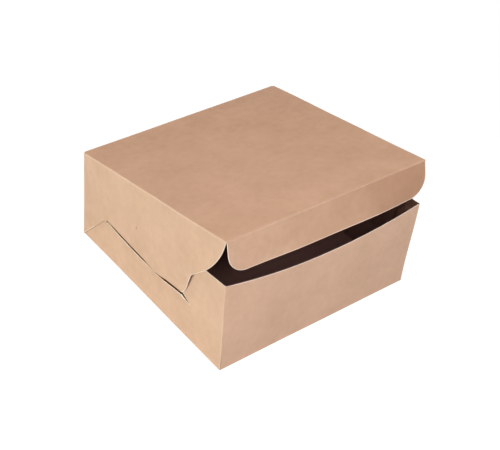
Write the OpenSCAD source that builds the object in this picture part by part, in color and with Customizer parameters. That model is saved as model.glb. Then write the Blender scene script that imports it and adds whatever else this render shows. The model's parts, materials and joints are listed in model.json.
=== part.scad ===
// Kraft bakery box folded from one blank of board. The lid is hinged along the
// top of the back wall and stands a little raised. Its side flaps hang outside
// the side walls, and their tongues slip inwards through a curved slit in each
// wall. The front flap hangs outside the front wall.
// Frame: the front looks towards -Y, the left side towards -X, +Z is up, and
// the origin is the middle of the underside. Side outlines are drawn as
// [distance forward of the back, height], and lid outlines as
// [distance from the hinge, minus the depth below the lid].

/* [Tray] */
// Outside width, left to right
tray_w = 229; // [160:1:320]
// Outside length, front to back
tray_l = 229; // [215:1:320]
// Height of the walls at the corners
wall_h = 101; // [96:1:130]
// Dip of the front wall's edge in the middle
front_dip = 12; // [2:1:20]
// Dip of the side walls' edges in the middle
side_dip = 6; // [1:1:10]

/* [Board] */
// Thickness of the board
board_t = 0.6; // [0.4:0.05:0.8]
// Outside radius of the folds
fold_r = 0.9; // [0.9:0.1:1.6]

/* [Glued corners] */
// Length of the back wall's wings, glued outside the side walls
wing_l = 36; // [20:1:37]
// Slope of the lower edge of a wing
wing_slope = 48.5; // [42:0.5:52]
// Drop of a wing's upper edge at its front end
wing_drop = 14; // [8:1:24]
// Length of the front wall's tabs, glued inside the side walls
tab_l = 25; // [10:1:40]
// Depth of a tab's upper edge below the side wall's
tab_drop = 14; // [9:1:30]

/* [Slits] */
// Distance from the back to the start of a slit
slit_start = 38.5; // [37:0.5:39.5]
// Length of a slit
slit_l = 141; // [138:1:150]
// Height of a slit's back end above the underside
slit_z = 43.6; // [43:0.2:45]
// Height of the gap that a tongue pushes open
slit_gap = 2.6; // [2.4:0.1:3.2]
// Height of the gap at the front end, past the tongue
slit_end_gap = 0.6; // [0.4:0.1:1.2]
// Distance from the front end over which the gap narrows
slit_taper = 10; // [7:1:11]
// Drop from the back end to the shallow bend in a slit
slit_bend = 4.9; // [3:0.1:6]
// Rise from the shallow bend to the front end of a slit
slit_rise = 7.3; // [5:0.1:8]
// Distance along a slit from its start to the bend
slit_bend_at = 82; // [70:1:95]
// Length of the hook at the front end of a slit
slit_hook = 11.5; // [9:0.5:12]

/* [Lid] */
// Angle by which the lid stands raised
lid_raise = 12; // [11:0.5:13]
// Room between a wing and the side flap outside it
flap_gap = 0.3; // [0.3:0.05:0.6]
// Room between the front wall and the closed front flap
front_gap = 0.5; // [0.4:0.1:2]
// Room between a creased edge and the sheet that turns about it
crease_gap = 0.3; // [0.3:0.05:0.5]

/* [Side flaps] */
// Distance from the hinge to the back edge of a side flap
flap_back = 2.5; // [1.5:0.5:5]
// Depth of a side flap at its back corner
flap_depth = 82; // [76:1:88]
// Distance from the hinge to the back edge of a tongue
tongue_back = 29.5; // [29.5:0.5:32]
// Length of a tongue's lower edge, before its corners are rounded
tongue_l = 119; // [112:1:122]
// Depth of a tongue's lower edge below the lid
tongue_depth = 94; // [91:0.5:94]
// Radius of a tongue's lower corner at the back
tongue_r = 20; // [8:1:22]
// Radius of a tongue's lower corner at the front
tongue_front_r = 36; // [20:1:38]
// Height at which a tongue crosses the middle line of its slit
tongue_lift = 0.25; // [0:0.05:0.3]
// Radius of the two bends where a tongue steps in through its slit
step_r = 1.2; // [0.6:0.1:2]
// Distance from the hinge to the notch behind a tongue
back_notch = 25; // [24:0.5:26]
// Depth of the notch behind a tongue
back_notch_depth = 65.6; // [65:0.2:66.2]
// Depth at which a tongue begins below the lid
root_depth = 55; // [50:0.5:55]
// Distance from the front of the lid to the notch above a tongue
notch_back = 53; // [50:0.5:58]
// Depth of the notch below the lid
notch_depth = 56; // [55.5:0.5:58]

/* [Front flap] */
// Height of the front flap
front_flap_h = 33.5; // [24:0.5:40]
// Radius of its lower corners
front_flap_r = 19; // [4:1:22]
// Angle by which it stands out from square to the lid
front_flap_flare = 5; // [3:0.5:15]

/* [Hidden] */
$fn = 48;
eps = 0.01;
kraft = [0.80, 0.64, 0.50];
kraft_light = [0.86, 0.70, 0.56];

// the two crease axes
hinge_y = tray_l / 2 - board_t / 2;
hinge_z = wall_h + crease_gap + board_t / 2;
lid_l = hinge_y + tray_l / 2 + front_gap + board_t / 2;

// the layers outside and inside a side wall, from the middle outwards
wing_x = tray_w / 2 + board_t;
flap_x = wing_x + flap_gap + board_t;
inner_x = tray_w / 2 - board_t - flap_gap;

// lengths that reach past the box and past a sheet, for cutting tools
reach = 2 * (tray_l + tray_w + wall_h);
past = 1;

// the slit's small end turns: run, drop and rounding
slit_back_run = 3;
slit_back_drop = 3.6;
slit_back_r = 1.5;
slit_bend_r = 25;
slit_hook_r = 10;
slit_hook_drop = 4.2;

// the side flap's turns: lower corner, slant of the tongue's ends, notch and front curve
flap_corner_r = 2;
tongue_slant = 3.5;
notch_r = 3;
front_curve_run = 11;
front_curve_drop = 29;
front_curve_r = 90;

// cut corners of the glued wings and tabs, and the hinge edge's inset at its ends
wing_cut = 8;
tab_cut = 6;
tab_shoulder = 8;
tab_shoulder_drop = 12;
hinge_inset = 1;

// how far the dip of an edge stays from the walls at its ends
edge_cut = 2;

function unit(v) = v / norm(v);
function turn(a, b) = a[0] * b[1] - a[1] * b[0];

// Points of the arc that rounds the corner q between p and n with radius r
function corner(p, q, n, r, steps = 12) =
    let (
        a = unit(p - q),
        b = unit(n - q),
        half = acos(a * b) / 2,
        tangent = r / tan(half),
        centre = q + unit(a + b) * r / sin(half),
        from = q + a * tangent - centre,
        side = turn(a, b) > 0 ? -1 : 1,
        sweep = side * (180 - 2 * half)
    )
    r == 0 ? [q] : [for (i = [0:steps])
        let (w = sweep * i / steps)
        centre + [from[0] * cos(w) - from[1] * sin(w), from[0] * sin(w) + from[1] * cos(w)]];

// A closed outline through corners given as [x, y, radius]
function rounded(c) = [for (i = [0:len(c) - 1])
    let (
        p = c[(i + len(c) - 1) % len(c)],
        q = c[i],
        n = c[(i + 1) % len(c)]
    )
    each corner([p[0], p[1]], [q[0], q[1]], [n[0], n[1]], q[2])];

// The middle line of a slit, from its back end to its front end
bend_z = slit_z - slit_bend;
slit_turns = [
    [slit_start, slit_z - slit_back_drop, 0],
    [slit_start + slit_back_run, slit_z, slit_back_r],
    [slit_start + slit_bend_at, bend_z, slit_bend_r],
    [slit_start + slit_l - slit_hook, bend_z + slit_rise, slit_hook_r],
    [slit_start + slit_l, bend_z + slit_rise - slit_hook_drop, 0]
];
slit_end = slit_start + slit_l;
slit_line = [for (i = [0:len(slit_turns) - 1])
    let (q = slit_turns[i])
    each (i == 0 || i == len(slit_turns) - 1) ? [[q[0], q[1]]] : corner(
        [slit_turns[i - 1][0], slit_turns[i - 1][1]],
        [q[0], q[1]],
        [slit_turns[i + 1][0], slit_turns[i + 1][1]],
        q[2], 8)];

// The outline of a side flap with its tongue
flap_turns = [
    [flap_back, 0, 0],
    [flap_back, -flap_depth, flap_corner_r],
    [back_notch, -back_notch_depth, 0],
    [tongue_back, -back_notch_depth - (tongue_back - back_notch) * tan(lid_raise), 0],
    [tongue_back + tongue_slant, -tongue_depth, tongue_r],
    [tongue_back + tongue_slant + tongue_l, -tongue_depth, tongue_front_r],
    [lid_l - notch_back, -notch_depth, notch_r],
    [lid_l - front_curve_run, -front_curve_drop, front_curve_r],
    [lid_l, 0, 0]
];

// Height of a slit's gap at each point of its middle line
slit_gaps = [for (p = slit_line)
    slit_end_gap + (slit_gap - slit_end_gap) * min(1, (slit_end - p[0]) / slit_taper)];

// Slope from one corner of an outline to the next
function slope(a, b) = atan2(b[1] - a[1], b[0] - a[0]);

// A strip along a line of points, with its width at each of them
module strip(line, widths) {
    last = len(line) - 1;
    normals = [for (i = [0:last])
        let (d = unit(line[min(i + 1, last)] - line[max(i - 1, 0)]))
        [-d[1], d[0]]];
    upper = [for (i = [0:last]) line[i] + normals[i] * widths[i] / 2];
    lower = [for (i = [last:-1:0]) line[i] - normals[i] * widths[i] / 2];
    polygon(concat(upper, lower));
}

// A rectangle with rounded corners, centred
module round_rect(w, h, r) {
    square([w - 2 * r, h], center = true);
    square([w, h - 2 * r], center = true);
    for (x = [-1, 1], y = [-1, 1]) translate([x * (w / 2 - r), y * (h / 2 - r)]) circle(r);
}

// Stands a side outline up between two distances from the middle plane:
// side is -1 for the left and 1 for the right
module side_plate(side, inner, outer) {
    x = side > 0 ? outer : -inner;
    translate([x, tray_l / 2, 0]) rotate([90, 0, -90]) linear_extrude(outer - inner) children();
}

// Places children drawn with the hinge at the origin on the raised lid
module raised() {
    translate([0, hinge_y, hinge_z]) rotate([-lid_raise, 0, 0]) children();
}

// A block with folded edges at its four sides and its foot, from z = foot up
module folded_block(w, l, foot, top, r) {
    h = top - foot + 2 * r;
    translate([0, 0, foot + h / 2]) intersection() {
        translate([0, 0, -h / 2]) linear_extrude(top - foot) round_rect(w, l, r);
        rotate([90, 0, 0]) linear_extrude(l + 2, center = true) round_rect(w, h, r);
        rotate([90, 0, 90]) linear_extrude(w + 2, center = true) round_rect(l, h, r);
    }
}

// A round cutter lying across a wall's edge that dips by dip over a span
module dip_cutter(span, dip, length) {
    r = (span * span / 4 + dip * dip) / (2 * dip);
    translate([0, 0, wall_h - dip + r]) rotate([90, 0, 0])
        cylinder(r = r, h = length, center = true, $fn = 240);
}

// The wings' outline on a side wall
module wing_outline() {
    polygon([
        [-past, -past * tan(wing_slope)],
        [wing_l, wing_l * tan(wing_slope)],
        [wing_l, wall_h - wing_drop],
        [wing_cut, wall_h - past],
        [-past, wall_h - past]
    ]);
}

// Rounded end of the back wall, which the lid's crease turns about
module hinge_edge() {
    w = tray_w - 2 * hinge_inset;
    translate([0, hinge_y, hinge_z]) rotate([0, 90, 0]) cylinder(d = board_t, h = w, center = true);
    translate([-w / 2, hinge_y - board_t / 2, wall_h - past]) cube([w, board_t, hinge_z - wall_h + past]);
}

module tray() {
    inner_r = fold_r - board_t;
    color(kraft) {
        difference() {
            union() {
                folded_block(tray_w, tray_l, 0, wall_h, fold_r);
                intersection() {
                    linear_extrude(wall_h) round_rect(2 * wing_x, tray_l, fold_r);
                    for (side = [-1, 1]) side_plate(side, tray_w / 2 - board_t, wing_x) wing_outline();
                }
            }
            folded_block(tray_w - 2 * board_t, tray_l - 2 * board_t, board_t, wall_h + past, inner_r);
            intersection() {
                dip_cutter(tray_w, front_dip, reach);
                translate([0, -tray_l / 2, wall_h])
                    cube([tray_w - 2 * fold_r, 2 * edge_cut, 2 * wall_h], center = true);
            }
            intersection() {
                rotate([0, 0, 90]) dip_cutter(tray_l, side_dip, reach);
                translate([0, 0, wall_h]) cube([reach, tray_l - 2 * edge_cut, 2 * wall_h], center = true);
            }
            for (side = [-1, 1])
                side_plate(side, tray_w / 2 - board_t - past, wing_x + past) strip(slit_line, slit_gaps);
        }
        tab_z = wall_h - tab_drop;
        for (side = [-1, 1])
            side_plate(side, tray_w / 2 - 2 * board_t, tray_w / 2 - board_t + eps)
                translate([tray_l - board_t - tab_l, board_t + fold_r]) polygon([
                    [0, tab_cut],
                    [tab_cut, 0],
                    [tab_l + eps, 0],
                    [tab_l + eps, tab_z],
                    [tab_shoulder, tab_z],
                    [0, tab_z - tab_shoulder_drop]
                ]);
        hinge_edge();
    }
}

// The part of a side flap's outline that is its tongue
module tongue_zone() {
    translate([tongue_back, -root_depth - reach]) square([reach, reach]);
}

// Stands a lid outline up across the whole width
module across_lid() {
    rotate([90, 0, -90]) linear_extrude(2 * (flap_x + past), center = true) children();
}

module lid() {
    inner_r = fold_r - board_t;
    depth = flap_depth + past;
    start = board_t / 2 + crease_gap;
    color(kraft) raised() {
        intersection() {
            // the panel and its side flaps as one folded sheet
            rotate([90, 0, 0]) linear_extrude(lid_l) difference() {
                translate([0, board_t / 2 - depth]) round_rect(2 * flap_x, 2 * depth, fold_r);
                translate([0, -board_t / 2 - depth]) round_rect(2 * (flap_x - board_t), 2 * depth, inner_r);
            }
            union() {
                translate([-reach / 2, -lid_l, -fold_r]) cube([reach, lid_l - start, 2 * fold_r]);
                across_lid() difference() {
                    polygon(rounded(flap_turns));
                    tongue_zone();
                }
            }
        }
        translate([0, -lid_l, 0]) rotate([0, 90, 0]) cylinder(d = board_t, h = 2 * wing_x, center = true);
    }
}

// Places children at the bend of the slit, with their Z along a slope
module at_bend(angle) {
    y = tray_l / 2 - slit_start - slit_bend_at;
    translate([0, y, bend_z + tongue_lift]) rotate([90 - angle, 0, 0]) children();
}

// Section of the sheet that hangs outside the right wall, steps in through the
// slit at 45 degrees and goes on inside
module step_section() {
    wall_x = tray_w / 2 - board_t / 2;
    out_x = flap_x - board_t / 2;
    in_x = inner_x - board_t / 2;
    far = tray_l / 2;
    path = concat(
        [[out_x, far]],
        corner([out_x, far], [out_x, out_x - wall_x], [in_x, in_x - wall_x], step_r, 6),
        corner([out_x, out_x - wall_x], [in_x, in_x - wall_x], [in_x, -far], step_r, 6),
        [[in_x, -far]]
    );
    strip(path, [for (p = path) board_t]);
}

// The sheet bends along both legs of the slit, which meet in a mitre
module right_tongue() {
    back_slope = slope(slit_turns[1], slit_turns[2]);
    front_slope = slope(slit_turns[2], slit_turns[3]);
    color(kraft) intersection() {
        raised() across_lid() intersection() {
            polygon(rounded(flap_turns));
            tongue_zone();
        }
        union() for (leg = [[back_slope, -1], [front_slope, 1]]) intersection() {
            at_bend(leg[0]) linear_extrude(2 * tray_l, center = true) step_section();
            at_bend((back_slope + front_slope) / 2)
                translate([0, 0, leg[1] * reach / 2]) cube([reach, reach, reach], center = true);
        }
    }
}

module left_tongue() {
    mirror([1, 0, 0]) right_tongue();
}

module front_flap() {
    start = board_t / 2 + crease_gap;
    color(kraft_light) raised() translate([0, -lid_l, 0]) rotate([-front_flap_flare, 0, 0])
        rotate([90, 0, 0]) linear_extrude(board_t, center = true) polygon(rounded([
            [-wing_x, -start, 0],
            [-wing_x, -front_flap_h, front_flap_r],
            [wing_x, -front_flap_h, front_flap_r],
            [wing_x, -start, 0]
        ]));
}

tray();
lid();
left_tongue();
right_tongue();
front_flap();
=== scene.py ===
"""Kraft board bakery box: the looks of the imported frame, in metres."""
import json
import math

import bmesh
import bpy
import numpy as np
from mathutils import Matrix, Vector


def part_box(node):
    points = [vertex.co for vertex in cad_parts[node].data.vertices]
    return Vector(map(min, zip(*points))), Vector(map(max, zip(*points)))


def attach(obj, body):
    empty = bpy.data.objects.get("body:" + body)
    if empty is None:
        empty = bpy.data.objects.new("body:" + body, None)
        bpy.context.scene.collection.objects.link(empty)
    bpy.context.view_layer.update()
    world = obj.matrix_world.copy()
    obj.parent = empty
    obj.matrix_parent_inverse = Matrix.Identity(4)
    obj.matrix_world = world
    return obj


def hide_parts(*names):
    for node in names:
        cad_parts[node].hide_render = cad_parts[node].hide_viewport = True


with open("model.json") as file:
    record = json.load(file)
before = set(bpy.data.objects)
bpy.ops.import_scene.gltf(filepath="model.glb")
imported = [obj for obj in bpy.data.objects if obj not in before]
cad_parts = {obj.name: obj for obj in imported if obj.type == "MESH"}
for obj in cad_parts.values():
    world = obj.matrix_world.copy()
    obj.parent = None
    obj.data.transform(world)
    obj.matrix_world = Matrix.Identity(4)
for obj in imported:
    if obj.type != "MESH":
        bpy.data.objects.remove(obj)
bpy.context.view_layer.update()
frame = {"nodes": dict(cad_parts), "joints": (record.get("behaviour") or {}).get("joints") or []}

MM = 0.001


def rgb(red, green, blue):
    """An opaque colour."""
    return (red, green, blue, 1.0)


# Camera, solved from the corners of the tray in the photograph
CAMERA_AZIMUTH = -41.449
CAMERA_ELEVATION = 39.034
CAMERA_ROLL = 6.491
CAMERA_AT = Vector((-0.66124, -0.75519, 0.85535))
# Shift along the picture's height, fitted to the box's outline
CAMERA_RISE = 0.6 * MM
PHOTO_WIDTH = 500
FOCAL_PIXELS = 1307.2
SENSOR_WIDTH = 36.0
CLIP_NEAR = 0.05
CLIP_FAR = 20

# Lamps, fitted to the tones of the photographed board: place, size, power, colour
LAMPS = {
    "left": ((-1.9, -0.2, 0.36), 0.6, 19.5, (0.94, 1.06, 1.01)),
    "key": ((-0.25, -0.75, 1.00), 0.5, 8.2, (1.01, 0.99, 1.02)),
    "front": ((0.6, -1.8, 0.36), 0.6, 5.2, (0.90, 0.97, 1.10)),
    "top": ((-0.3, 0.8, 1.6), 0.8, 9.5, (1.10, 0.95, 0.90)),
}
LAMP_AIM = (0, 0, 0.05)
AMBIENT = 0.08
WHITE = rgb(1, 1, 1)

# The floor: its colour, and what the camera sees of it, a glow and a little grey
FLOOR_SIZE = 8
FLOOR_COLOUR = rgb(0.82, 0.86, 0.93)
FLOOR_GREY = rgb(0.14, 0.14, 0.14)
FLOOR_GLOW = 0.95

# Sizes that the source gives the board. The depths are below the lid's panel: where a
# tongue joins its flap, where the notch behind the tongue ends, how far the tongue reaches
BOARD = 0.6 * MM
FOLD_R = 0.9 * MM
WALL_TOP = 0.101
TONGUE_BACK = 29.5 * MM
ROOT_DEPTH = 55 * MM
BACK_NOTCH_DEPTH = 66.6 * MM
TONGUE_DEPTH = 0.094

# Sizes taken from the frame. WING_X, WALL_X, FLAP_X and WALL_Y are outer faces
joint_at = {joint["name"]: Vector(joint["pos_m"]) for joint in frame["joints"]}
HINGE_AT = joint_at["lid_hinge"]
FOLD_AT = joint_at["front_flap_fold"]
LID_LENGTH = (FOLD_AT - HINGE_AT).length
LID_RAISE = math.asin((FOLD_AT.z - HINGE_AT.z) / LID_LENGTH)
tray_low, tray_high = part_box("tray")
WING_X = tray_high.x
WALL_X = WING_X - BOARD
FLAP_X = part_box("lid")[1].x
WALL_Y = -tray_low.y

# World to lid: x across, y backwards from the hinge, z up from the panel
TO_LID = Matrix.Rotation(LID_RAISE, 4, "X") @ Matrix.Translation(-HINGE_AT)

# Depths inwards from the outer faces, which tell the layers of board apart: an outer
# face itself, what lies behind a single wall, the ends and the bottom, a side wall with
# its tab, and all that belongs to a side wall or a side flap
SKIN = 0.2 * MM
TAB_DEPTH = 0.61 * MM
END_DEPTH = 0.65 * MM
WALL_DEPTH = 1 * MM
SIDE_DEPTH = 1.3 * MM
SIDE_REACH = 3 * MM
FLAP_REACH = 4 * MM

# A face looks along a direction if its normal's share of it is above FACING, and is
# edge-on to it below EDGE_ON
FACING = 0.9
EDGE_ON = 0.3
UPWARD = 0.5

# Tests for the faces that a tongue's solid and its flap's have in common
TOUCH = 0.02 * MM
SQUARE_ON = 0.99
NO_RISE = 0.02
NO_SIDE = 0.1

# The kinds of face, in the order of the materials: inside faces get painted shade, cut faces and
# the pale strips are partly a painted highlight, and the last kind is a strip of painted shadow
OUTSIDE, INSIDE, CUT, WORN_AND_HIGHLIGHT, SHADOW_STRIP = range(5)

# Pale strips beside the cut edges, partly wear and partly a painted highlight, and how far from the
# folds and the hinge there is none
PALE_STRIP_WIDTH = 0.55 * MM
NO_PALE_STRIP_FOLD = 1.2 * MM
NO_PALE_STRIP_BACK = 30 * MM

# The strip of painted shadow below a glued wing's slanting edge: its length from the back, its top
SHADOW_STRIP_LENGTH = 0.0375
SHADOW_STRIP_TOP = 0.086

# Meshes: grids, distances within which points are one, angles in degrees
GRID = 6 * MM
FLAP_GRID = 4 * MM
CUT_SNAP = 1e-7
MERGE_DISTANCE = 2e-6
FLAT_ANGLE = 0.2
SHARP_ANGLE = 28

# Pale ridges along the folds, partly stretched fibres and partly a painted highlight: reach, the
# planes that hold them narrow, and the strength on the lesser folds
RIDGE_REACH = 1.5 * MM
RIDGE_NEAR = 1.3 * MM
RIDGE_FAR = 2.6 * MM
CORNER_RIDGE = 0.25
FRONT_RIDGE = 0.1
CREASE_RIDGE = 0.12

# Bent fibres that fill the gap of a crease: radius, distances from the board's edges,
# sides and parts of the mesh, angle of its sharp edges in degrees
CREASE_RADIUS = 0.52 * MM
HINGE_CREASE_INSET = 1.0 * MM
FRONT_CREASE_INSET = 0.2 * MM
CREASE_SIDES = 16
CREASE_PARTS = 40
CREASE_SHARP = 40

# Gentle waves of the whole box, and the height over which they begin above the floor
WAVE_SEED = 7
WAVE_LENGTHS = (0.31, 0.19, 0.12, 0.08)
WAVE_SIZE = 0.16 * MM
FOOT_FADE = (1 * MM, 30 * MM)

# How far the box's corners stray from square, in mm: x and y of the back left,
# back right, front left and front right corner, at three heights
LEAN = (
    (0.0, ((-0.5, 0.0), (0.0, 0.0), (0.4, -2.0), (0.5, 1.9))),
    (0.101, ((-1.4, 0.0), (1.6, 0.0), (0.0, 0.7), (0.1, -1.9))),
    (0.149, ((-1.4, 0.0), (1.6, 0.0), (0.0, 0.4), (-0.6, -1.0))),
)

# Middle line of a slit: distance from the back and height
SLIT = np.array([(38.5, 40.0), (41.5, 43.6), (120.5, 38.7), (168.0, 46.0), (179.5, 41.8)]) * MM

# How far the board rides up along a slit: distance from the back in m, rise in mm
SLIT_RISE = np.array([
    (0.030, 0.0), (0.0415, 1.3), (0.048, 2.0), (0.055, 2.2), (0.075, 2.1), (0.089, 2.3),
    (0.097, 2.6), (0.105, 2.7), (0.112, 2.6), (0.118, 2.1), (0.124, 1.3), (0.129, 0.9),
    (0.134, 1.5), (0.1425, 2.5), (0.150, 2.6), (0.163, 2.5), (0.170, 1.9), (0.180, 1.0),
    (0.200, 0.0),
])
SLIT_RISE_HEIGHT = 0.043
SLIT_RISE_REACH = 0.022

# Bulges of a slit's lower lip, smaller on the right: size in mm, and the distances from
# the back between which each grows and fades
LIP_BULGES = ((1.5, 0.040, 0.062, 0.100, 0.119), (1.9, 0.127, 0.143, 0.166, 0.184))
LIP_BULGE_REACH = 0.016
LIP_BULGE_FOOT = 20 * MM
RIGHT_BULGE_SHARE = 0.2

# The hooked end of a slit, and how far its lips are drawn together
HOOK_FROM, HOOK_TO = 0.1675, 0.181
HOOK_REACH = 1.6 * MM
RIGHT_HOOK_SHUT = 0.85
LEFT_HOOK_SHUT = ((0.168, 0.172, 0.178), (0.6, 0.5, 0.2))

# The front of a side flap stands off: how far, over which length and which depths
STAND_OFF = 2.6 * MM
STAND_OFF_LENGTH = (0.110, 0.176)
STAND_OFF_DEPTH = (10 * MM, 52 * MM, 58 * MM, 84 * MM)

# Bow of the front flap's free edge in mm, from its left end, with the steps along x
BOW_LEFT = -1.7
BOW_STEPS = ((2.4, -0.095, -0.03), (0.6, -0.02, 0.045), (-4.6, 0.045, 0.125))

# Painted shade, where the board is darker: strength, and the range over which it sets in
CORNER_SHADE = 0.8
CORNER_SHADE_FRONT = (0.02, 0.08)
CORNER_SHADE_HEIGHT = (0.02, 0.05)
TONGUE_SHADE_SINK = (0.4 * MM, 1.8 * MM)
TONGUE_SHADE_DEPTH = 20 * MM
FLAP_SHADE_LEFT = 0.14
FLAP_SHADE_STEPS = ((0.14, -0.1, 0.0), (0.24, 0.0, 0.11))

# Noise in the board: scale, detail, roughness, stretch
CLOUDS = (28, 3, 0.55, (1, 1, 1))
BLOTCHES = (130, 2, 0.5, (1, 1, 1))
FIBRES = (900, 4, 0.6, (1, 0.35, 1))
STRANDS = (1500, 3, 0.6, (0.25, 1, 0.6))
# The noise's middle part, which holds most of its values, for coarse and fine layers
COARSE_RANGE = (0.3, 0.7)
FINE_RANGE = (0.25, 0.75)
RELIEF_HEIGHT = 0.06 * MM
RELIEF_STRENGTH = 0.22
ROUGHNESS = (0.72, 0.86)
SPECULAR = 0.25
RIDGE_PALENESS = 0.55

# Dark flecks: scale of their cells, share of cells without one, radii and strength
FLECK_SCALE = 150.0
FLECK_FREE = 0.86
FLECK_RADII = (0.03, 0.09)
FLECK_STRENGTH = 0.45
FLECK_COLOUR = rgb(0.30, 0.16, 0.09)

# Small marks on the outside: place, stretch of space about it, radius, strength
MARKS = (
    ((-0.1154, -0.0825, 0.1174), (0.2, 1, 1), 1.2 * MM, 0.15),
    ((-0.1154, -0.0932, 0.1176), (0.2, 1, 1), 0.9 * MM, 0.45),
    ((-0.1154, 0.0212, 0.0730), (0.2, 1, 0.3), 0.9 * MM, 0.75),
    ((-0.0912, -0.1151, 0.0568), (1, 0.2, 1), 1.0 * MM, 0.35),
)
MARK_CORE = 0.4
MARK_COLOUR = rgb(0.26, 0.12, 0.06)


def make_camera():
    """The photograph's view."""
    data = bpy.data.cameras.new("photo_camera")
    data.sensor_width = SENSOR_WIDTH
    data.lens = FOCAL_PIXELS / PHOTO_WIDTH * SENSOR_WIDTH
    data.clip_start = CLIP_NEAR
    data.clip_end = CLIP_FAR
    camera = bpy.data.objects.new("photo_camera", data)
    bpy.context.scene.collection.objects.link(camera)
    azimuth, elevation, roll = map(math.radians, (CAMERA_AZIMUTH, CAMERA_ELEVATION, CAMERA_ROLL))
    back = Vector((
        math.sin(azimuth) * math.cos(elevation),
        -math.cos(azimuth) * math.cos(elevation),
        math.sin(elevation),
    ))
    right = Vector((0, 0, 1)).cross(back).normalized()
    up = back.cross(right)
    rolled_right = math.cos(roll) * right + math.sin(roll) * up
    rolled_up = back.cross(rolled_right)
    axes = Matrix((rolled_right, rolled_up, back)).transposed()
    camera.matrix_world = Matrix.Translation(CAMERA_AT + CAMERA_RISE * rolled_up) @ axes.to_4x4()
    bpy.context.scene.camera = camera


class Graph:
    """The node tree of a material or world, written from left to right."""

    def __init__(self, owner):
        owner.use_nodes = True
        self.tree = owner.node_tree

    def add(self, kind, inputs=None, **settings):
        node = self.tree.nodes.new(kind)
        for key, value in settings.items():
            setattr(node, key, value)
        for key, value in (inputs or {}).items():
            self.set(node.inputs[key], value)
        return node

    def set(self, socket, value):
        """Links the socket to another one, or gives it a constant."""
        if isinstance(value, bpy.types.NodeSocket):
            self.tree.links.new(value, socket)
        else:
            socket.default_value = value

    def math(self, operation, a, b):
        return self.add("ShaderNodeMath", {0: a, 1: b}, operation=operation).outputs[0]

    def total(self, *shares):
        """The sum of some values, each times its share."""
        terms = [self.math("MULTIPLY", value, share) for value, share in shares]
        result = terms[0]
        for term in terms[1:]:
            result = self.math("ADD", result, term)
        return result

    def noise(self, where, scale, detail, roughness, stretch):
        mapped = self.add("ShaderNodeMapping", {"Vector": where, "Scale": stretch}).outputs[0]
        inputs = {"Vector": mapped, "Scale": scale, "Detail": detail, "Roughness": roughness}
        return self.add("ShaderNodeTexNoise", inputs).outputs["Fac"]

    def spread(self, value, low, high, out_low=0.0, out_high=1.0):
        """The value's range from low to high, mapped to another range."""
        return self.add("ShaderNodeMapRange", {
            "Value": value, "From Min": low, "From Max": high,
            "To Min": out_low, "To Max": out_high,
        }).outputs[0]

    def mix(self, factor, a, b, blend="MIX"):
        node = self.add("ShaderNodeMix", data_type="RGBA", blend_type=blend)
        for key, value in (("Factor", factor), ("A", a), ("B", b)):
            self.set(node.inputs[key], value)
        return node.outputs["Result"]

    def attribute(self, name):
        return self.add("ShaderNodeAttribute", attribute_name=name).outputs["Fac"]

    def direct(self):
        """1 for what the camera or a reflection sees, 0 for the light that falls on things."""
        rays = self.add("ShaderNodeLightPath")
        return self.math("MAXIMUM", rays.outputs["Is Camera Ray"], rays.outputs["Is Glossy Ray"])


def add_flecks(g, where, colour):
    """A dark fleck in some of the cells."""
    cells = g.add("ShaderNodeTexVoronoi", {"Vector": where, "Scale": FLECK_SCALE}, feature="F1")
    chance = g.add("ShaderNodeSeparateColor", {0: cells.outputs["Color"]}).outputs[0]
    rare = g.math("GREATER_THAN", chance, FLECK_FREE)
    near = g.spread(cells.outputs["Distance"], *FLECK_RADII, 1.0, 0.0)
    strength = g.math("MULTIPLY", g.math("MULTIPLY", rare, near), FLECK_STRENGTH)
    return g.mix(strength, colour, FLECK_COLOUR)


def add_mark(g, where, colour, place, stretch, radius, strength):
    """One dark mark at a place, longer where space is pressed together."""
    mapped = g.add("ShaderNodeVectorMath", {0: where, 1: stretch}, operation="MULTIPLY")
    inputs = {0: mapped.outputs[0], 1: [a * b for a, b in zip(place, stretch)]}
    far = g.add("ShaderNodeVectorMath", inputs, operation="DISTANCE").outputs["Value"]
    return g.mix(g.spread(far, MARK_CORE * radius, radius, strength, 0.0), colour, MARK_COLOUR)


def board_material(name, light, dark, ridge=None, painted_shade_colour=None, marks=()):
    """Unbleached board: cloudy tone, matted fibres, a few dark flecks, paler folds that are partly
    a painted highlight, and painted shade where the piece asks for it.
    """
    material = bpy.data.materials.new(name)
    g = Graph(material)
    where = g.add("ShaderNodeTexCoord").outputs["Object"]
    clouds, blotches, fibres, strands = (
        g.noise(where, *layer) for layer in (CLOUDS, BLOTCHES, FIBRES, STRANDS)
    )
    tone = g.total(
        (g.spread(clouds, *COARSE_RANGE), 0.45),
        (g.spread(blotches, *COARSE_RANGE), 0.26),
        (g.spread(fibres, *FINE_RANGE), 0.24),
        (g.spread(strands, *FINE_RANGE), 0.15),
    )
    colour = add_flecks(g, where, g.mix(tone, dark, light))
    # Painted shade: the given shade colour is multiplied in where the piece's attribute asks for it
    if painted_shade_colour:
        colour = g.mix(g.attribute("painted_shade"), colour, painted_shade_colour, blend="MULTIPLY")
    for mark in marks:
        colour = add_mark(g, where, colour, *mark)
    # Paler along the folds: stretched fibres, partly a painted highlight
    if ridge:
        colour = g.mix(g.math("MULTIPLY", g.attribute("fold"), RIDGE_PALENESS), colour, ridge)
    relief = g.total((fibres, 1.0), (blotches, 1.2), (strands, 0.7))
    bump = g.add("ShaderNodeBump", {
        "Height": relief, "Strength": RELIEF_STRENGTH, "Distance": RELIEF_HEIGHT,
    })
    shader = g.tree.nodes["Principled BSDF"]
    g.set(shader.inputs["Base Color"], colour)
    g.set(shader.inputs["Roughness"], g.spread(fibres, *COARSE_RANGE, *ROUGHNESS))
    g.set(shader.inputs["Specular IOR Level"], SPECULAR)
    g.set(shader.inputs["Normal"], bump.outputs[0])
    return material


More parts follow.
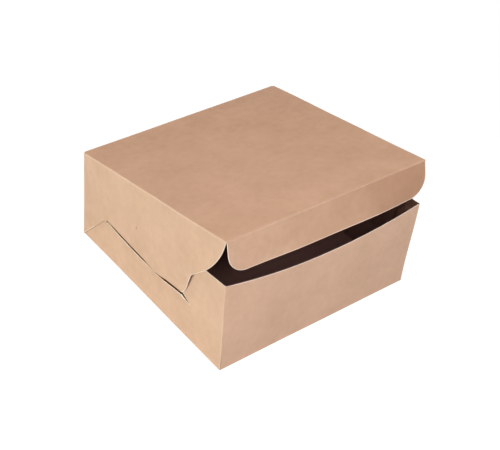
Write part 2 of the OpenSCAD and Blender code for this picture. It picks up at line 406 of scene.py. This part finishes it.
def floor_material():
    """A pale floor that the camera sees as white, with the object's soft shadow on it."""
    material = bpy.data.materials.new("floor_paint")
    g = Graph(material)
    g.tree.nodes.remove(g.tree.nodes["Principled BSDF"])
    plain = g.add("ShaderNodeBsdfDiffuse", {"Color": FLOOR_COLOUR})
    faint = g.add("ShaderNodeBsdfDiffuse", {"Color": FLOOR_GREY})
    white = g.add("ShaderNodeEmission", {"Color": WHITE, "Strength": FLOOR_GLOW})
    seen = g.add("ShaderNodeAddShader", {0: faint.outputs[0], 1: white.outputs[0]})
    inputs = {0: g.direct(), 1: plain.outputs[0], 2: seen.outputs[0]}
    shader = g.add("ShaderNodeMixShader", inputs)
    g.set(g.tree.nodes["Material Output"].inputs["Surface"], shader.outputs[0])
    return material


def make_stage():
    """The floor, and a world that looks white and lights weakly."""
    bpy.ops.mesh.primitive_plane_add(size=FLOOR_SIZE, location=(0, 0, 0))
    floor = bpy.context.object
    floor.name = "floor"
    floor.data.materials.append(floor_material())
    world = bpy.data.worlds.new("studio")
    bpy.context.scene.world = world
    g = Graph(world)
    ambient = g.tree.nodes["Background"]
    g.set(ambient.inputs["Color"], WHITE)
    g.set(ambient.inputs["Strength"], AMBIENT)
    white = g.add("ShaderNodeBackground", {"Color": WHITE, "Strength": 1.0})
    inputs = {0: g.direct(), 1: ambient.outputs[0], 2: white.outputs[0]}
    shader = g.add("ShaderNodeMixShader", inputs)
    g.set(g.tree.nodes["World Output"].inputs["Surface"], shader.outputs[0])


def make_lamps():
    """Square lamps that face the box."""
    for name, (at, size, power, colour) in LAMPS.items():
        data = bpy.data.lights.new(name, "AREA")
        data.shape = "SQUARE"
        data.size = size
        data.energy = power
        data.color = colour
        light = bpy.data.objects.new(name, data)
        bpy.context.scene.collection.objects.link(light)
        light.location = at
        light.rotation_mode = "QUATERNION"
        light.rotation_quaternion = (Vector(LAMP_AIM) - Vector(at)).to_track_quat("-Z", "Y")


def smooth(value, low, high):
    """0 below low, 1 above high, smooth between."""
    t = np.clip((value - low) / (high - low), 0, 1)
    return t * t * (3 - 2 * t)


def hill(value, low, top_low, top_high, high):
    """1 between the tops, falling smoothly to 0 at low and high."""
    return smooth(value, low, top_low) * (1 - smooth(value, top_high, high))


def stairs(value, start, changes):
    """The start value, changed smoothly by each size between its low and high."""
    total = np.full_like(value, start)
    for size, low, high in changes:
        total += size * smooth(value, low, high)
    return total


def waves(points, seed, lengths, size):
    """Smooth seeded offsets along x, y and z, about size each."""
    rng = np.random.default_rng(seed)
    total = np.zeros_like(points)
    for length in lengths:
        for axis in range(3):
            direction = rng.normal(size=3)
            direction /= np.linalg.norm(direction)
            phase = rng.uniform(0, 2 * math.pi)
            total[:, axis] += np.sin(points @ direction * (2 * math.pi / length) + phase)
    return total * size / math.sqrt(len(lengths))


def lean(points):
    """The corners' moves, spread evenly between them."""
    right = (points[:, 0] / WALL_X + 1) / 2
    front = (1 - points[:, 1] / WALL_Y) / 2
    weights = ((1 - right) * (1 - front), right * (1 - front), (1 - right) * front, right * front)
    heights, moves = [], []
    for height, corners in LEAN:
        heights.append(height)
        moves.append(sum(np.outer(w, corner) for w, corner in zip(weights, corners)))
    low, middle, high = heights
    first = smooth(points[:, 2], low, middle)[:, None]
    second = smooth(points[:, 2], middle, high)[:, None]
    flat = moves[0] + (moves[1] - moves[0]) * first + (moves[2] - moves[1]) * second
    return np.column_stack((flat, np.zeros(len(points)))) * MM


def slit_rise(points):
    """The side walls and the tongues ride up a little along the slits."""
    back = WALL_Y - points[:, 1]
    along = np.interp(back, SLIT_RISE[:, 0], SLIT_RISE[:, 1])
    side = np.abs(points[:, 0]) > WALL_X - SIDE_REACH
    fade = np.exp(-((points[:, 2] - SLIT_RISE_HEIGHT) / SLIT_RISE_REACH) ** 2)
    return along * side * fade * MM


def warp(points):
    """How a folded board box strays from flat and square, the same for all its layers."""
    offset = waves(points, WAVE_SEED, WAVE_LENGTHS, WAVE_SIZE)
    offset += lean(points)
    offset[:, 2] *= smooth(points[:, 2], *FOOT_FADE)
    offset[:, 2] += slit_rise(points)
    return points + offset


def steps(low, high, gap=GRID):
    """Evenly spaced places between low and high, about a gap apart."""
    count = max(1, round((high - low) / gap))
    return list(np.linspace(low, high, count + 1)[1:-1])


def near_folds(*places, gaps=(RIDGE_NEAR, RIDGE_FAR)):
    """Planes on both sides of each fold, which hold its ridge narrow."""
    return [p + side * gap for p in places for side in (-1, 1) for gap in gaps]


def ridge_of(distance):
    """Strength of a fold's ridge at a distance from it."""
    return np.clip(1 - np.abs(distance) / RIDGE_REACH, 0, 1)


def cut_grid(bm, matrix, lines):
    """Cuts the mesh along planes across x, y and z in the frame of matrix."""
    bmesh.ops.transform(bm, matrix=matrix, verts=bm.verts)
    for axis, places in enumerate(lines):
        normal = Vector((0, 0, 0))
        normal[axis] = 1
        for place in places:
            bmesh.ops.bisect_plane(
                bm, geom=bm.verts[:] + bm.edges[:] + bm.faces[:], dist=CUT_SNAP,
                plane_co=normal * place, plane_no=normal,
            )
    bmesh.ops.transform(bm, matrix=matrix.inverted(), verts=bm.verts)


def measure(faces):
    """The faces' centres and normals, a row for each."""
    centres = np.array([f.calc_center_median()[:] for f in faces])
    return centres, np.array([f.normal[:] for f in faces])


def nowhere(centres, normals):
    """Picks none of the faces."""
    return np.zeros(len(centres), bool)


def board_mesh(nodes, matrix, lines, kinds, hidden=nowhere, shadow_strip=nowhere, plain=nowhere):
    """The nodes as one sheet, its faces sorted by kind, with pale strips beside cut edges.

    hidden picks faces inside the sheet, the second test the strips of painted shadow below a glued
    wing, and plain the strips that are not made pale.
    """
    bm = bmesh.new()
    for node in nodes:
        bm.from_mesh(frame["nodes"][node].data)
    bmesh.ops.remove_doubles(bm, verts=bm.verts, dist=MERGE_DISTANCE)
    flat = math.radians(FLAT_ANGLE)
    bmesh.ops.dissolve_limit(bm, angle_limit=flat, verts=bm.verts, edges=bm.edges)
    bm.normal_update()
    where = measure(bm.faces)
    for face, kind in zip(bm.faces, kinds(*where)):
        face.material_index = int(kind)
    inner = [f for f, out in zip(bm.faces, hidden(*where)) if out]
    bmesh.ops.delete(bm, geom=inner, context="FACES_ONLY")
    sides = [f for f in bm.faces if f.material_index != CUT]
    strips = bmesh.ops.inset_region(
        bm, faces=sides, thickness=PALE_STRIP_WIDTH, depth=0, use_boundary=False, use_even_offset=False,
    )["faces"]
    bm.normal_update()
    where = measure(strips)
    picks = [shadow_strip(*where), kinds(*where) != OUTSIDE, plain(*where)]
    for face, kind in zip(strips, np.select(picks, [SHADOW_STRIP, INSIDE, OUTSIDE], WORN_AND_HIGHLIGHT)):
        face.material_index = int(kind)
    cut_grid(bm, matrix, lines)
    return bm


def add_piece(name, bm, body, materials, sharp, folds, nodes=(), shape=None, painted_shade=None):
    """Makes the mesh a piece on a body, with ridges, painted shade and a lived-in shape."""
    for face in bm.faces:
        face.smooth = True
    mesh = bpy.data.meshes.new(name)
    bm.to_mesh(mesh)
    bm.free()
    points = np.array([v.co[:] for v in mesh.vertices])
    for attribute, values in (("fold", folds), ("painted_shade", painted_shade)):
        if values:
            layer = mesh.attributes.new(attribute, "FLOAT", "POINT")
            layer.data.foreach_set("value", values(points).astype(np.float32))
    if shape:
        points = shape(points)
    mesh.vertices.foreach_set("co", warp(points).ravel())
    mesh.set_sharp_from_angle(angle=math.radians(sharp))
    mesh.update()
    for material in materials:
        mesh.materials.append(material)
    piece = bpy.data.objects.new(name, mesh)
    bpy.context.scene.collection.objects.link(piece)
    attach(piece, body)
    if nodes:
        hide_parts(*nodes)


def make_tray(materials):
    """The folded tray with its glued wings and tabs."""
    lines = (
        steps(-WALL_X, WALL_X) + near_folds(-WALL_X, WALL_X),
        steps(-WALL_Y, WALL_Y) + near_folds(-WALL_Y, WALL_Y),
        steps(0, WALL_TOP) + near_folds(0),
    )

    def kinds(c, n):
        side = np.abs(c[:, 0]) > WALL_X - SIDE_DEPTH
        end = np.abs(c[:, 1]) > WALL_Y - END_DEPTH
        foot = c[:, 2] < FOLD_R
        inward = (n[:, 0] * np.sign(c[:, 0]) < -EDGE_ON) & side
        wall = np.abs(c[:, 1]) > WALL_Y - WALL_DEPTH
        inward |= (n[:, 1] * np.sign(c[:, 1]) < -EDGE_ON) & wall
        inward |= (n[:, 2] > EDGE_ON) & (c[:, 2] < WALL_DEPTH)
        edge = side & ~end & ~foot & (np.abs(n[:, 0]) < EDGE_ON)
        edge |= ~foot & (n[:, 2] > UPWARD)
        tab = side & (np.abs(c[:, 0]) < WALL_X - TAB_DEPTH)
        return np.where(edge & ~tab, CUT, np.where(inward | tab, INSIDE, OUTSIDE))

    def shadow_strip(c, n):
        """Painted shadow on the wall just below the slanting edge of a glued wing."""
        wall = (np.abs(np.abs(c[:, 0]) - WALL_X) < SKIN) & (np.abs(n[:, 0]) > FACING)
        return wall & (WALL_Y - c[:, 1] < SHADOW_STRIP_LENGTH) & (c[:, 2] < SHADOW_STRIP_TOP)

    def folds(p):
        across = np.abs(p[:, 0]) - WALL_X
        along = np.abs(p[:, 1]) - WALL_Y
        foot = ridge_of(np.hypot(np.maximum(across, along), p[:, 2]))
        return np.maximum(foot, CORNER_RIDGE * ridge_of(np.hypot(across, along)))

    def shape(p):
        """The slits' lower lips bulge out, and the lips of their hooked ends are drawn together."""
        p = p.copy()
        back = WALL_Y - p[:, 1]
        below = np.interp(back, SLIT[:, 0], SLIT[:, 1]) - p[:, 2]
        left = p[:, 0] < 0
        side = np.abs(p[:, 0]) > WALL_X - SIDE_DEPTH
        bulge = sum(size * hill(back, *places) for size, *places in LIP_BULGES)
        bulge = np.where(left, bulge, RIGHT_BULGE_SHARE * bulge)
        fade = np.where(below > 0, np.exp(-np.maximum(below, 0) / LIP_BULGE_REACH), 0)
        fade = fade * smooth(p[:, 2], 0, LIP_BULGE_FOOT)
        p[:, 0] += np.sign(p[:, 0]) * side * bulge * fade * MM
        hook = side & (back > HOOK_FROM) & (back < HOOK_TO) & (np.abs(below) < HOOK_REACH)
        shut = np.where(left, np.interp(back, *LEFT_HOOK_SHUT), RIGHT_HOOK_SHUT)
        p[hook, 2] += (shut * below)[hook]
        return p

    def painted_shade(p):
        """Painted shade: inside, the right front corner is darkest."""
        inner = (p[:, 0] > WALL_X - SIDE_REACH) & (p[:, 0] < WALL_X - SKIN)
        inner &= p[:, 1] > SKIN - WALL_Y
        front = smooth(-p[:, 1], *CORNER_SHADE_FRONT)
        return CORNER_SHADE * front * smooth(p[:, 2], *CORNER_SHADE_HEIGHT) * inner

    nodes = ["tray"]
    bm = board_mesh(nodes, Matrix.Identity(4), lines, kinds, shadow_strip=shadow_strip)
    add_piece("tray_board", bm, "tray", materials, SHARP_ANGLE, folds, nodes, shape, painted_shade)


def lid_frame(points):
    """Distance from the hinge, depth below the panel and side, from world points."""
    m = np.array(TO_LID)
    q = points @ m[:3, :3].T + m[:3, 3]
    return -q[:, 1], -q[:, 2], q[:, 0]


def make_lid(materials):
    """The lid's panel with its side flaps and their tongues, one sheet."""
    lines = (
        steps(-FLAP_X, FLAP_X) + near_folds(-FLAP_X, FLAP_X),
        [-s for s in steps(0, LID_LENGTH) + near_folds(LID_LENGTH, gaps=(RIDGE_NEAR,))],
        [-d for d in steps(0, TONGUE_DEPTH) + near_folds(0)],
    )
    up = np.array(TO_LID.to_3x3().transposed() @ Vector((0, 0, 1)))

    def kinds(c, n):
        s, d, x = lid_frame(c)
        rise = n @ up
        across = n[:, 0] * np.sign(x)
        panel = (np.abs(rise) > FACING) & (d < FOLD_R)
        edge = (np.abs(across) < EDGE_ON) & ~panel
        inward = (panel & (rise < 0)) | (across < -EDGE_ON) | ((d < FOLD_R) & (rise < -EDGE_ON))
        return np.where(edge, CUT, np.where(inward, INSIDE, OUTSIDE))

    def hidden(c, n):
        """The faces inside the board where a tongue's solid meets its flap's."""
        s, d, x = lid_frame(c)
        rise = np.abs(n @ up)
        flap = np.abs(x) > WALL_X
        root = flap & (np.abs(d - ROOT_DEPTH) < TOUCH) & (rise > SQUARE_ON)
        back = flap & (np.abs(s - TONGUE_BACK) < TOUCH) & (rise < NO_RISE)
        back &= (d > ROOT_DEPTH) & (d < BACK_NOTCH_DEPTH) & (np.abs(n[:, 0]) < NO_SIDE)
        return root | back

    def plain(c, n):
        """The front fold and the hidden back edges get no pale strip."""
        s, d, x = lid_frame(c)
        return (s > LID_LENGTH - NO_PALE_STRIP_FOLD) | (s < NO_PALE_STRIP_BACK)

    def folds(p):
        s, d, x = lid_frame(p)
        long = ridge_of(np.hypot(np.abs(x) - FLAP_X, d + BOARD / 2))
        return np.maximum(long, FRONT_RIDGE * ridge_of(np.hypot(s - LID_LENGTH, d)))

    def shape(p):
        """The front of each side flap stands off from the wall."""
        s, d, x = lid_frame(p)
        side = np.abs(x) > FLAP_X - FLAP_REACH
        out = smooth(s, *STAND_OFF_LENGTH) * hill(d, *STAND_OFF_DEPTH)
        p = p.copy()
        p[:, 0] += np.sign(x) * side * out * STAND_OFF
        return p

    def painted_shade(p):
        """Painted shade: the tongues are darker in the crevice where they sink through their slits.
        """
        s, d, x = lid_frame(p)
        return smooth(WING_X - np.abs(x), *TONGUE_SHADE_SINK) * (d > TONGUE_SHADE_DEPTH)

    nodes = ["lid", "left_tongue", "right_tongue"]
    bm = board_mesh(nodes, TO_LID, lines, kinds, hidden, plain=plain)
    add_piece("lid_board", bm, "lid", materials, SHARP_ANGLE, folds, nodes, shape, painted_shade)


def make_front_flap(materials):
    """The flap that hangs from the lid's front edge."""
    outline = frame["nodes"]["front_flap"].data
    normal = max(outline.polygons, key=lambda f: f.area).normal.copy()
    out = normal if normal.y < 0 else -normal
    down = Vector((1, 0, 0)).cross(out)
    down = down if down.z < 0 else -down
    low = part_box("front_flap")[0]
    height = Vector((0, low.y - FOLD_AT.y, low.z - FOLD_AT.z)).dot(down)
    to_flap = Matrix((Vector((1, 0, 0)), down, out)).to_4x4() @ Matrix.Translation(-FOLD_AT)
    planes = steps(0, height, FLAP_GRID) + near_folds(0, gaps=(RIDGE_FAR,))
    lines = (steps(-WING_X, WING_X), planes, [])
    out_way, down_way = np.array(out), np.array(down)

    def below_fold(p):
        return (p - np.array(FOLD_AT)) @ down_way

    def kinds(c, n):
        facing = n @ out_way
        return np.where(np.abs(facing) < EDGE_ON, CUT, np.where(facing < 0, INSIDE, OUTSIDE))

    def plain(c, n):
        """The flap's fold gets no pale strip."""
        return below_fold(c) < NO_PALE_STRIP_FOLD

    def folds(p):
        return CREASE_RIDGE * ridge_of(below_fold(p))

    def shape(p):
        """The flap is bowed, most at its free edge."""
        depth = below_fold(p) / height
        return p + np.outer(stairs(p[:, 0], BOW_LEFT, BOW_STEPS) * depth ** 2 * MM, out_way)

    def painted_shade(p):
        """Painted shade: the flap is darker than the lid, most at its right end."""
        return stairs(p[:, 0], FLAP_SHADE_LEFT, FLAP_SHADE_STEPS)

    nodes = ["front_flap"]
    bm = board_mesh(nodes, to_flap, lines, kinds, plain=plain)
    add_piece("flap_board", bm, "front_flap", materials, SHARP_ANGLE, folds, nodes, shape, painted_shade)


def make_crease(name, centre, half, body, material):
    """The board's bent fibres along a crease, round about its axis."""
    bm = bmesh.new()
    angles = [2 * math.pi * k / CREASE_SIDES for k in range(CREASE_SIDES)]
    rings = []
    for i in range(CREASE_PARTS + 1):
        x = -half + 2 * half * i / CREASE_PARTS
        ring = [(x, CREASE_RADIUS * math.cos(a), CREASE_RADIUS * math.sin(a)) for a in angles]
        rings.append([bm.verts.new(centre + Vector(point)) for point in ring])
    for first, second in zip(rings, rings[1:]):
        for k in range(CREASE_SIDES):
            after = (k + 1) % CREASE_SIDES
            bm.faces.new((first[k], second[k], second[after], first[after]))
    bm.faces.new(rings[0])
    bm.faces.new(rings[-1][::-1])
    bmesh.ops.recalc_face_normals(bm, faces=bm.faces)

    def folds(p):
        return np.full(len(p), CREASE_RIDGE)

    add_piece(name, bm, body, [material], CREASE_SHARP, folds)


make_camera()
make_stage()
make_lamps()

# The outside; the brown colour given to it is multiplied in as painted shade
kraft = board_material(
    "kraft_board", rgb(0.735, 0.473, 0.317), rgb(0.583, 0.358, 0.229),
    ridge=rgb(0.83, 0.62, 0.46), painted_shade_colour=rgb(0.5, 0.33, 0.2), marks=MARKS,
)
# The inside: the same kraft darkened as painted shade, for the dark inside of the closed box
kraft_inside_painted_shade = board_material(
    "kraft_inside_painted_shade", rgb(0.35, 0.185, 0.148), rgb(0.30, 0.155, 0.122),
    ridge=rgb(0.40, 0.22, 0.17), painted_shade_colour=rgb(0.25, 0.15, 0.09),
)
# Cut faces and the strips beside them are paler: cut and worn fibres, partly a painted highlight
kraft_cut_and_highlight = board_material("kraft_cut_edge_and_highlight", rgb(0.96, 0.80, 0.66), rgb(0.90, 0.72, 0.57))
kraft_worn_and_highlight = board_material("kraft_worn_edge_and_highlight", rgb(0.93, 0.74, 0.58), rgb(0.87, 0.67, 0.51))
# Painted shadow: a dark strip on the wall below each glued wing's slanting edge
kraft_painted_shadow = board_material("kraft_painted_shadow", rgb(0.26, 0.12, 0.06), rgb(0.19, 0.085, 0.04))
sheet = (kraft, kraft_inside_painted_shade, kraft_cut_and_highlight, kraft_worn_and_highlight, kraft_painted_shadow)

make_tray(sheet)
make_lid(sheet)
make_front_flap(sheet)
make_crease("hinge_crease", HINGE_AT, WALL_X - HINGE_CREASE_INSET, "tray", kraft)
make_crease("front_crease", FOLD_AT, WING_X - FRONT_CREASE_INSET, "lid", kraft)

bpy.context.scene.view_settings.view_transform = "Standard"
